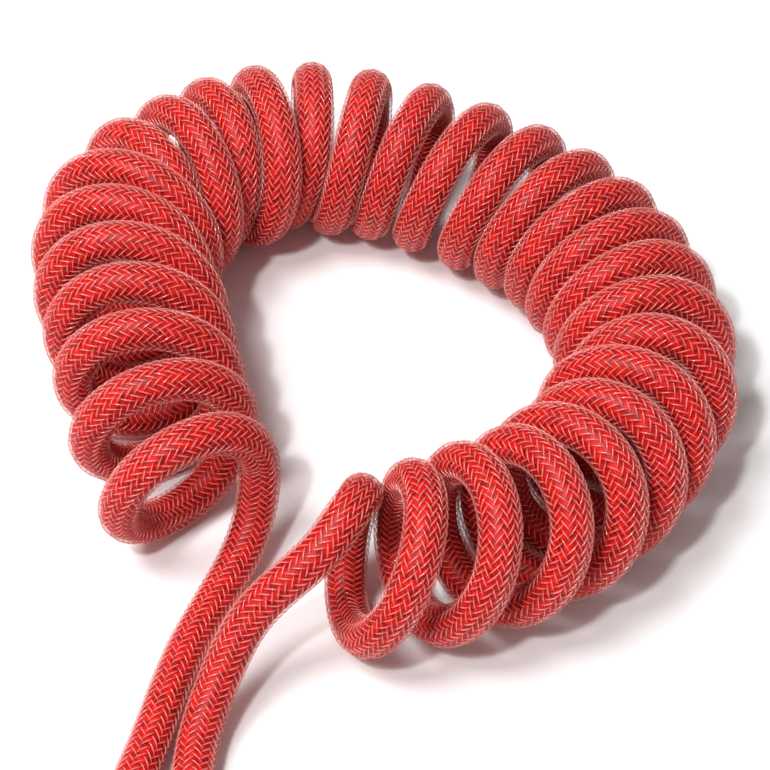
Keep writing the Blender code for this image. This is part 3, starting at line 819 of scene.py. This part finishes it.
        # The over mark also places the painted glint and the painted shade in the strands' material.
        marked = tree.add("GeometryNodeStoreNamedAttribute", moved, data_type="FLOAT", domain="POINT")
        marked.inputs["Name"].default_value = "over"
        tree.feed(next(socket for socket in marked.inputs if socket.name == "Value" and socket.enabled), over)
        plain = tree.add("GeometryNodeSetCurveRadius", marked, None, 1.0)
        ring = tree.add("GeometryNodeCurvePrimitiveCircle", 4)
        tree.feed(ring.inputs["Radius"], given["strand"])
        swept = tree.add("GeometryNodeCurveToMesh", plain, ring)
        swept.inputs["Fill Caps"].default_value = True
        return swept.outputs[0]


@dataclass(frozen=True)
class Metal:
    """A turned metal part's finish.

    Attributes:
        name: The material's name.
        colour: Its own colour.
        worn: Its colour where the edges are rubbed.
        roughness: On its faces.
        lines: Strength of the turning lines.
        grime: How much of it dirt covers.
        soiled: Share of its colour that dirt leaves.
        dull: How far dirt roughens it.
        matt_lines: How far the turning lines roughen it.
        line_depth: Height of the turning lines.
    """

    name: str
    colour: tuple[float, float, float]
    worn: tuple[float, float, float]
    roughness: float
    lines: float = 0.25
    grime: float = 0.35
    soiled: float = 0.45
    dull: float = 0.25
    matt_lines: float = 0.12
    line_depth: float = 0.05 * MM

    def material(self) -> bpy.types.Material:
        """Make the material, or return it if it has been made."""
        if self.name in bpy.data.materials:
            return bpy.data.materials[self.name]
        material, graph = new_material(self.name)
        place = graph.add("ShaderNodeTexCoord").outputs["Object"]
        marks = graph.add("ShaderNodeGroup", node_tree=handling_marks())
        graph.feed(marks.inputs["Place"], place)
        lines = graph.add("ShaderNodeGroup", node_tree=turning_lines())
        graph.feed(lines.inputs["Place"], graph.add("ShaderNodeUVMap", uv_map="turned").outputs["UV"])
        edge = graph.add("ShaderNodeAttribute", attribute_name="edge").outputs["Fac"]
        rubbed = graph.math("MULTIPLY", edge, marks.outputs["Rub"])
        clean = graph.blend(rubbed, self.colour, self.worn)
        covered = graph.math("MULTIPLY", marks.outputs["Grime"], self.grime)
        dirty = graph.blend(covered, clean, tuple(self.soiled * c for c in self.colour))
        rough = graph.math("MULTIPLY", marks.outputs["Grime"], self.dull * self.grime)
        rough = graph.math("ADD", rough, graph.math("MULTIPLY", lines.outputs["Lines"], self.matt_lines))
        bump = graph.add("ShaderNodeBump")
        graph.feed(bump.inputs["Strength"], self.lines)
        graph.feed(bump.inputs["Distance"], self.line_depth)
        graph.feed(bump.inputs["Height"], lines.outputs["Lines"])
        shader = graph.add("ShaderNodeBsdfPrincipled", Metallic=1.0)
        graph.feed(shader.inputs["Base Color"], dirty)
        graph.feed(shader.inputs["Roughness"], graph.math("ADD", rough, self.roughness))
        graph.feed(shader.inputs["Normal"], bump)
        graph.add("ShaderNodeOutputMaterial", shader)
        return material


@dataclass(frozen=True)
class Rubber:
    """The black nitrile rubber of the seals.

    Attributes:
        colour: Its own colour.
        dust: How many times lighter dust makes it.
        roughness: Of its skin.
        dull: How far dust roughens it.
    """

    colour: tuple[float, float, float] = (0.018, 0.018, 0.019)
    dust: float = 2.2
    roughness: float = 0.5
    dull: float = 0.2

    def material(self) -> bpy.types.Material:
        """Make the material, or return it if it has been made."""
        name = "nitrile_rubber"
        if name in bpy.data.materials:
            return bpy.data.materials[name]
        material, graph = new_material(name)
        marks = graph.add("ShaderNodeGroup", node_tree=handling_marks())
        graph.feed(marks.inputs["Place"], graph.add("ShaderNodeTexCoord").outputs["Object"])
        colour = graph.blend(marks.outputs["Grime"], self.colour, tuple(self.dust * c for c in self.colour))
        shader = graph.add("ShaderNodeBsdfPrincipled")
        graph.feed(shader.inputs["Base Color"], colour)
        dusty = graph.math("MULTIPLY", marks.outputs["Grime"], self.dull)
        rough = graph.math("ADD", dusty, self.roughness)
        graph.feed(shader.inputs["Roughness"], rough)
        graph.add("ShaderNodeOutputMaterial", shader)
        return material


def shader_group(name: str, inputs: dict[str, str], outputs: dict[str, str]) -> tuple[Graph, bpy.types.Node]:
    """Start a shared shader group.

    Args:
        name: Its name.
        inputs: The kind of each input socket.
        outputs: The kind of each output socket.

    Returns:
        Its graph, and the node that its inputs come from.
    """
    tree = bpy.data.node_groups.new(name, "ShaderNodeTree")
    for side, sockets in (("INPUT", inputs), ("OUTPUT", outputs)):
        for key, kind in sockets.items():
            tree.interface.new_socket(key, in_out=side, socket_type=kind)
    graph = Graph(tree)
    return graph, tree.nodes.new("NodeGroupInput")


def handling_marks() -> bpy.types.NodeTree:
    """Return the shared group that says where handling has rubbed and soiled a piece."""
    name = "handling_marks"
    if name in bpy.data.node_groups:
        return bpy.data.node_groups[name]
    ports = {"Rub": "NodeSocketFloat", "Grime": "NodeSocketFloat"}
    graph, given = shader_group(name, {"Place": "NodeSocketVector"}, ports)
    large = graph.add("ShaderNodeTexNoise", Scale=260.0, Detail=4.0, Roughness=0.62)
    graph.feed(large.inputs["Vector"], given.outputs["Place"])
    small = graph.add("ShaderNodeTexNoise", Scale=1400.0, Detail=2.0)
    graph.feed(small.inputs["Vector"], given.outputs["Place"])
    rub = graph.add("ShaderNodeMapRange", None, 0.35, 0.6, 0.15, 1.0)
    graph.feed(rub.inputs["Value"], small.outputs["Fac"])
    grime = graph.add("ShaderNodeMapRange", None, 0.42, 0.78, 0.0, 1.0)
    graph.feed(grime.inputs["Value"], large.outputs["Fac"])
    ends = graph.add("NodeGroupOutput")
    graph.feed(ends.inputs["Rub"], rub.outputs["Result"])
    graph.feed(ends.inputs["Grime"], grime.outputs["Result"])
    return graph.tree


def turning_lines() -> bpy.types.NodeTree:
    """Return the shared group that draws the fine rings a lathe leaves."""
    name = "turning_lines"
    if name in bpy.data.node_groups:
        return bpy.data.node_groups[name]
    ports = {"Lines": "NodeSocketFloat"}
    graph, given = shader_group(name, {"Place": "NodeSocketVector"}, ports)
    stretched = graph.vector("MULTIPLY", given.outputs["Place"], (3.0, 9000.0, 1.0))
    noise = graph.add("ShaderNodeTexNoise", Scale=1.0, Detail=3.0, Roughness=0.7)
    graph.feed(noise.inputs["Vector"], stretched)
    ends = graph.add("NodeGroupOutput")
    graph.feed(ends.inputs["Lines"], noise.outputs["Fac"])
    return graph.tree


NICKEL = Metal("satin_nickel", (0.60, 0.585, 0.55), (0.86, 0.80, 0.68), 0.22)
BRASS = Metal("turned_brass", (0.72, 0.49, 0.19), (0.93, 0.74, 0.38), 0.24, lines=0.4)
STEEL = Metal("spring_steel", (0.44, 0.445, 0.455), (0.70, 0.70, 0.71), 0.28, lines=0.0)
POLISHED = Metal("polished_steel", (0.74, 0.74, 0.75), (0.85, 0.85, 0.85), 0.07, lines=0.0, grime=0.1)
RUBBER = Rubber()


@dataclass
class Knurl:
    """Straight ribs round part of a turned piece.

    Attributes:
        start: Where they begin, along the axis.
        stop: Where they end.
        count: Ribs round the piece.
        depth: Of the grooves between them.
        fade: Length in which they run out at both ends.
    """

    start: float
    stop: float
    count: int = 60
    depth: float = 0.35 * MM
    fade: float = 0.6 * MM

    def cut(self, radius: float, height: float, angle: float) -> float:
        """Return a surface point's radius after the ribs are cut."""
        run_in = min(height - self.start, self.stop - height) / self.fade
        if run_in <= 0:
            return radius
        return radius - self.depth * min(1, run_in) * (0.5 + 0.5 * cos(self.count * angle)) ** 1.5


@dataclass
class TurnedPiece:
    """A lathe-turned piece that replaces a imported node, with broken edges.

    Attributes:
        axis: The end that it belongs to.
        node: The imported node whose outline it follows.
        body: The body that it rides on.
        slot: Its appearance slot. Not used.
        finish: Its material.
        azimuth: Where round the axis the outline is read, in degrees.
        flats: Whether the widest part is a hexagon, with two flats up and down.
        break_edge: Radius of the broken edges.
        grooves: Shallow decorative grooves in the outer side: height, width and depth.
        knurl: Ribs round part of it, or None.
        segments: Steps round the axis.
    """

    axis: EndAxis
    node: str
    body: str
    slot: str
    finish: Metal | Rubber
    azimuth: float = 0.0
    flats: bool = False
    break_edge: float = 0.25 * MM
    grooves: Sequence[tuple[float, float, float]] = ()
    knurl: Knurl | None = None
    segments: int = 96

    def build(self) -> bpy.types.Object:
        """Make the piece and put it in the node's place."""
        outline, edge = self._break_edges(self.axis.outline(self.node, self.azimuth))
        mesh = self._turn(outline, edge)
        piece = add_object(f"{self.node}_turned", mesh)
        mesh.materials.append(self.finish.material())
        return stand_for(piece, self.node, self.body)

    def _break_edges(self, corners: list[tuple[float, float]]) -> tuple[np.ndarray, np.ndarray]:
        """Round an outline's corners and add points on its long sides.

        Args:
            corners: Radius and height of each corner of the closed outline.

        Returns:
            The new points, and for each one how much of an edge it is.
        """
        points, edge = [], []
        loop = [Vector((*corner, 0)) for corner in corners]
        for k, corner in enumerate(loop):
            before, after = loop[k - 1] - corner, loop[(k + 1) % len(loop)] - corner
            reach = min(self.break_edge, 0.4 * before.length, 0.4 * after.length)
            start, stop = corner + before.normalized() * reach, corner + after.normalized() * reach
            for share in (0, 1 / 3, 2 / 3, 1):
                bow = start.lerp(corner, share).lerp(corner.lerp(stop, share), share)
                points.append((bow.x, bow.y))
                edge.append(1.0 if 0 < share < 1 else 0.35)
            run = loop[(k + 1) % len(loop)] - stop
            fine = 0.25 * MM if self.knurl or self.grooves or self.flats else 1.2 * MM
            steps = int(run.length / fine)
            for i in range(1, steps):
                points.append(tuple((stop + run * (i / steps)).xy))
                edge.append(0.0)
        return np.array(points), np.array(edge)

    def _turn(self, outline: np.ndarray, edge: np.ndarray) -> bpy.types.Mesh:
        """Turn an outline round the axis.

        Args:
            outline: Radius and height of each point.
            edge: How much of an edge each point is.

        Returns:
            The mesh, with an edge attribute and a UV map of distance round and along.
        """
        count, steps = len(outline), self.segments
        widest = outline[:, 0].max()
        flat = widest * cos(pi / 6)
        heights = outline[:, 1]
        outer = outline[:, 0].copy()
        for height, width, depth in self.grooves:
            inside = np.clip(1 - ((heights - height) / (width / 2)) ** 2, 0, 1)
            outer -= np.where(outline[:, 0] > 0.9 * widest, depth * np.sqrt(inside), 0)
        places = []
        for i in range(steps):
            angle = tau * i / steps
            limit = flat / cos((angle + pi / 6) % (pi / 3) - pi / 6) if self.flats else widest
            turned = angle + (pi / 6 if self.flats else 0)
            turn = Vector((cos(turned), sin(turned), 0))
            for k in range(count):
                radius = outer[k]
                if self.flats:
                    radius = min(radius, limit, widest * 0.994)
                elif self.knurl and outline[k, 0] > 0.97 * widest:
                    radius = self.knurl.cut(radius, heights[k], angle)
                places.append(self.axis.matrix @ (turn * radius + Vector((0, 0, heights[k]))))
        faces = [
            (
                i * count + k,
                (i + 1) % steps * count + k,
                (i + 1) % steps * count + (k + 1) % count,
                i * count + (k + 1) % count,
            )
            for i in range(steps)
            for k in range(count)
        ]
        mesh = bpy.data.meshes.new(f"{self.node}_turned")
        mesh.from_pydata(places, [], faces)
        run = np.concatenate((travelled(outline), [0.0]))
        run[-1] = run[-2] + np.linalg.norm(outline[0] - outline[-1])
        uv = mesh.uv_layers.new(name="turned")
        around = np.array([[i, i + 1, i + 1, i] for i in range(steps) for _ in range(count)]) / steps
        along = np.tile(np.column_stack([run[:-1], run[:-1], run[1:], run[1:]]), (steps, 1))
        uv.data.foreach_set("uv", np.stack([around, along], axis=-1).ravel())
        worn = mesh.attributes.new("edge", "FLOAT", "POINT")
        worn.data.foreach_set("value", np.tile(edge, steps))
        mesh.validate()
        shape = bmesh.new()
        shape.from_mesh(mesh)
        bmesh.ops.remove_doubles(shape, verts=shape.verts, dist=1e-7)
        bmesh.ops.recalc_face_normals(shape, faces=shape.faces)
        shape.to_mesh(mesh)
        shape.free()
        mesh.shade_smooth()
        mesh.set_sharp_from_angle(angle=radians(24))
        return mesh


@dataclass
class WireSpring:
    """A round wire wound about an end's axis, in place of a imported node.

    Attributes:
        axis: The end that it belongs to.
        node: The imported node.
        body: The body that it rides on.
        wire: Its diameter.
        stations: Turn number, radius and height of the wire's centre along the spring.
        joint: The joint that squeezes it towards the hose, or None.
        steps: Points in a turn.
        sides: Sides of the wire.
    """

    axis: EndAxis
    node: str
    body: str
    wire: float
    stations: Sequence[tuple[float, float, float]]
    joint: str | None = None
    steps: int = 40
    sides: int = 14

    def build(self) -> bpy.types.Object:
        """Make the spring and put it in the node's place."""
        turns = [row[0] for row in self.stations]
        count = round((turns[-1] - turns[0]) * self.steps) + 1
        at = np.linspace(turns[0], turns[-1], count)
        radius = np.interp(at, turns, [row[1] for row in self.stations])
        height = np.interp(at, turns, [row[2] for row in self.stations])
        local = np.column_stack([radius * np.cos(tau * at), radius * np.sin(tau * at), height])
        guide = guide_curve(f"{self.node}_guide", np.array([self.axis.matrix @ Vector(p) for p in local]))
        tree = GeometryTree(
            f"{self.node}_wire",
            radius="NodeSocketFloat",
            sides="NodeSocketInt",
            material="NodeSocketMaterial",
        )
        ring = tree.add("GeometryNodeCurvePrimitiveCircle", tree.given["sides"])
        tree.feed(ring.inputs["Radius"], tree.given["radius"])
        swept = tree.add("GeometryNodeCurveToMesh", tree.given["geometry"], ring)
        swept.inputs["Fill Caps"].default_value = True
        tree.finish(tree.add("GeometryNodeSetShadeSmooth", swept), tree.given["material"])
        piece = tree.run(
            f"{self.node}_wound", guide, radius=self.wire / 2, sides=self.sides, material=STEEL.material()
        )
        bpy.data.objects.remove(guide)
        stand_for(piece, self.node, self.body)
        if self.joint:
            self._squeeze(piece)
        return piece

    @classmethod
    def ground(cls, axis: EndAxis, node: str, turns: int, joint: str) -> "WireSpring":
        """Describe a spring with a closed turn at each end, which a joint squeezes.

        Args:
            axis: The end that it belongs to.
            node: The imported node.
            turns: Turns in all.
            joint: The joint that squeezes it.

        Returns:
            The spring.
        """
        span = axis.node(node)
        wire = span.outer - span.inner
        radius = (span.outer + span.inner) / 2
        base, top = span.bottom + wire / 2, span.top - wire / 2
        stations = (
            (0, radius, base),
            (1, radius, base + 1.1 * wire),
            (turns - 1, radius, top - 1.1 * wire),
            (turns, radius, top),
        )
        return cls(axis, node, "coupler", wire, stations, joint)

    def _squeeze(self, piece: bpy.types.Object) -> None:
        """Give the spring its own copy of its mesh; nothing shortens it."""
        span = self.axis.node(self.node)
        anchor = tuple(self.axis.at(span.bottom))
        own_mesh(piece)


def dress(node: str, finish: Metal | Rubber) -> None:
    """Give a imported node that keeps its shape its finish."""
    obj = frame["nodes"][node]
    for material_slot in obj.material_slots:
        material_slot.link = "OBJECT"
        material_slot.material = finish.material()


class HoseEnd:
    """The pieces that are fixed to one end of the hose."""

    def __init__(self, end: End) -> None:
        """Take an end."""
        self.axis = EndAxis.of(end)
        self.prefix = end.prefix

    def build(self) -> list[bpy.types.Object]:
        """Make the guard, the nut, the ferrule, the stem and its seal, and dress its retaining ring."""
        pieces = [self._guard()]
        nut = TurnedPiece(self.axis, f"{self.prefix}_nut", "hose", "nickel", NICKEL, flats=True, segments=144)
        stem = TurnedPiece(self.axis, f"{self.prefix}_stem", "hose", "brass", BRASS, flats=True, segments=144)
        ferrule = TurnedPiece(self.axis, f"{self.prefix}_ferrule", "hose", "brass", BRASS)
        seal = TurnedPiece(self.axis, f"{self.prefix}_swivel_seal", "hose", "black_rubber", RUBBER)
        pieces += [piece.build() for piece in (nut, stem, ferrule, seal)]
        dress(f"{self.prefix}_retaining_ring", STEEL)
        return pieces

    def _guard(self) -> bpy.types.Object:
        """Wind the guard: open turns from its mouth, then a close, flared turn inside the nut."""
        name = f"{self.prefix}_spring_guard"
        span = self.axis.node(name)
        local = self.axis.vertices(name)
        radius = np.hypot(local[:, 0], local[:, 1])
        low = radius[local[:, 2] < span.top - 4 * MM]
        wire = low.max() - low.min()
        mean = (low.max() + low.min()) / 2
        flare = span.outer - wire / 2
        base, top = span.bottom + wire / 2, span.top - wire / 2
        pitch = 3.9 * MM
        open_turns = (top - base - 1.5 * wire) / pitch
        stations = (
            (0, mean, base),
            (open_turns, mean, base + open_turns * pitch),
            (open_turns + 0.4, flare, top - 0.55 * wire),
            (open_turns + 1.0, flare, top),
        )
        return WireSpring(self.axis, name, "hose", wire, stations).build()


class PlugEnd:
    """The swivel nut, washer and plug of the supply end."""

    def build(self) -> list[bpy.types.Object]:
        """Make the pieces."""
        axis = EndAxis.of(End.SUPPLY)
        pieces = (
            TurnedPiece(axis, "supply_swivel_nut", "plug", "nickel", NICKEL, flats=True, segments=144),
            TurnedPiece(axis, "plug_washer", "plug", "black_rubber", RUBBER),
            TurnedPiece(axis, "supply_plug", "plug", "brass", BRASS),
        )
        return [piece.build() for piece in pieces]


class CouplerEnd:
    """The swivel nut and the quick coupler of the tool end."""

    def __init__(self) -> None:
        """Take the tool end's axis."""
        self.axis = EndAxis.of(End.TOOL)

    def build(self) -> list[bpy.types.Object]:
        """Make the pieces that show, and dress those inside."""
        axis = self.axis
        sleeve = axis.node("coupler_sleeve")
        length = sleeve.top - sleeve.bottom
        knurl = Knurl(sleeve.bottom + 0.36 * length, sleeve.top - 0.16 * length)
        grooves = [(sleeve.bottom + share * length, 1.0 * MM, 0.3 * MM) for share in (0.16, 0.24)]
        pieces = (
            TurnedPiece(axis, "tool_swivel_nut", "coupler", "nickel", NICKEL, flats=True, segments=144),
            TurnedPiece(axis, "coupler_body", "coupler", "brass", BRASS, azimuth=45.0),
            TurnedPiece(axis, "plug_seal", "coupler", "black_rubber", RUBBER),
            TurnedPiece(axis, "sleeve_stop_ring", "coupler", "spring_steel", STEEL, break_edge=0.15 * MM),
            TurnedPiece(
                axis,
                "coupler_sleeve",
                "sleeve",
                "nickel",
                NICKEL,
                break_edge=0.4 * MM,
                grooves=grooves,
                knurl=knurl,
                segments=360,
            ),
        )
        springs = (
            WireSpring.ground(axis, "sleeve_spring", 7, "sleeve_slide"),
            WireSpring.ground(axis, "valve_spring", 4, "valve_push"),
        )
        for node, finish in (("valve_poppet", BRASS), ("valve_seal", RUBBER), ("valve_spring_seat", STEEL)):
            dress(node, finish)
        return [piece.build() for piece in (*pieces, *springs)] + [self._ball(i + 1) for i in range(4)]

    def _ball(self, number: int) -> bpy.types.Object:
        """Make one locking ball."""
        name = f"locking_ball_{number}"
        local = self.axis.vertices(name)
        centre = (local.max(axis=0) + local.min(axis=0)) / 2
        shape = bmesh.new()
        bmesh.ops.create_icosphere(shape, subdivisions=4, radius=np.ptp(local[:, 2]) / 2)
        mesh = bpy.data.meshes.new(f"{name}_ground")
        bmesh.ops.translate(shape, verts=shape.verts, vec=self.axis.matrix @ Vector(centre))
        shape.to_mesh(mesh)
        shape.free()
        mesh.shade_smooth()
        mesh.materials.append(POLISHED.material())
        return stand_for(add_object(f"{name}_ground", mesh), name, f"ball_{number}")


@dataclass
class Studio:
    """The floor, the lights and the camera.

    Attributes:
        elevation: The camera's height above the horizon, in degrees.
        distance: From the camera to the ring's centre.
        lens: Focal length in millimetres, on a 36 mm sensor.
    """

    elevation: float = 50.0
    distance: float = 0.6
    lens: float = 120.0

    def build(self) -> None:
        """Set up the floor, the lights and the camera."""
        self._floor()
        self._lights()
        self._camera()
        bpy.context.scene.view_settings.view_transform = "Standard"

    def _floor(self) -> None:
        """Lay a plain pale floor."""
        shape = bmesh.new()
        bmesh.ops.create_grid(shape, x_segments=1, y_segments=1, size=3)
        mesh = bpy.data.meshes.new("floor")
        shape.to_mesh(mesh)
        shape.free()
        floor = add_object("floor", mesh)
        material = bpy.data.materials.new("pale_floor")
        material.use_nodes = True
        shader = material.node_tree.nodes["Principled BSDF"]
        shader.inputs["Base Color"].default_value = (0.94, 0.94, 0.94, 1)
        shader.inputs["Roughness"].default_value = 0.8
        mesh.materials.append(material)

    def _lights(self) -> None:
        """Hang soft lights."""
        world = bpy.data.worlds.new("studio")
        bpy.context.scene.world = world
        world.use_nodes = True
        world.node_tree.nodes["Background"].inputs["Color"].default_value = (1, 1, 1, 1)
        world.node_tree.nodes["Background"].inputs["Strength"].default_value = 0.3
        self._panel("key", (-0.5, -0.1, 1.1), 0.5, 13)
        self._panel("glint", (-0.3, -0.5, 1.0), 0.08, 6)

    def _panel(self, name: str, offset: Sequence[float], size: float, power: float) -> None:
        """Hang a square panel of light that faces the ring's centre."""
        data = bpy.data.lights.new(name, "AREA")
        data.size = size
        data.energy = power
        light = add_object(name, data)
        light.location = RING_CENTRE + Vector(offset)
        light.rotation_euler = (-Vector(offset)).to_track_quat("-Z", "Y").to_euler()

    def _camera(self) -> None:
        """Place the camera in front of the ring's gap and above it."""
        data = bpy.data.cameras.new("camera")
        data.lens = self.lens
        data.sensor_width = 36
        camera = add_object("camera", data)
        tilt = radians(self.elevation)
        back = Vector((0, -cos(tilt), sin(tilt)))
        camera.location = RING_CENTRE + back * self.distance
        camera.rotation_euler = (-back).to_track_quat("-Z", "Y").to_euler()
        bpy.context.scene.camera = camera


def main() -> None:
    """Build the hose's looks in order."""
    logging.basicConfig(level=logging.INFO, format="%(name)s: %(message)s")
    Studio().build()
    HoseEnd(End.SUPPLY).build()
    PlugEnd().build()
    fittings = HoseEnd(End.TOOL).build() + CouplerEnd().build()
    SleevedHose().build(fittings)


if __name__ == "__main__":
    main()
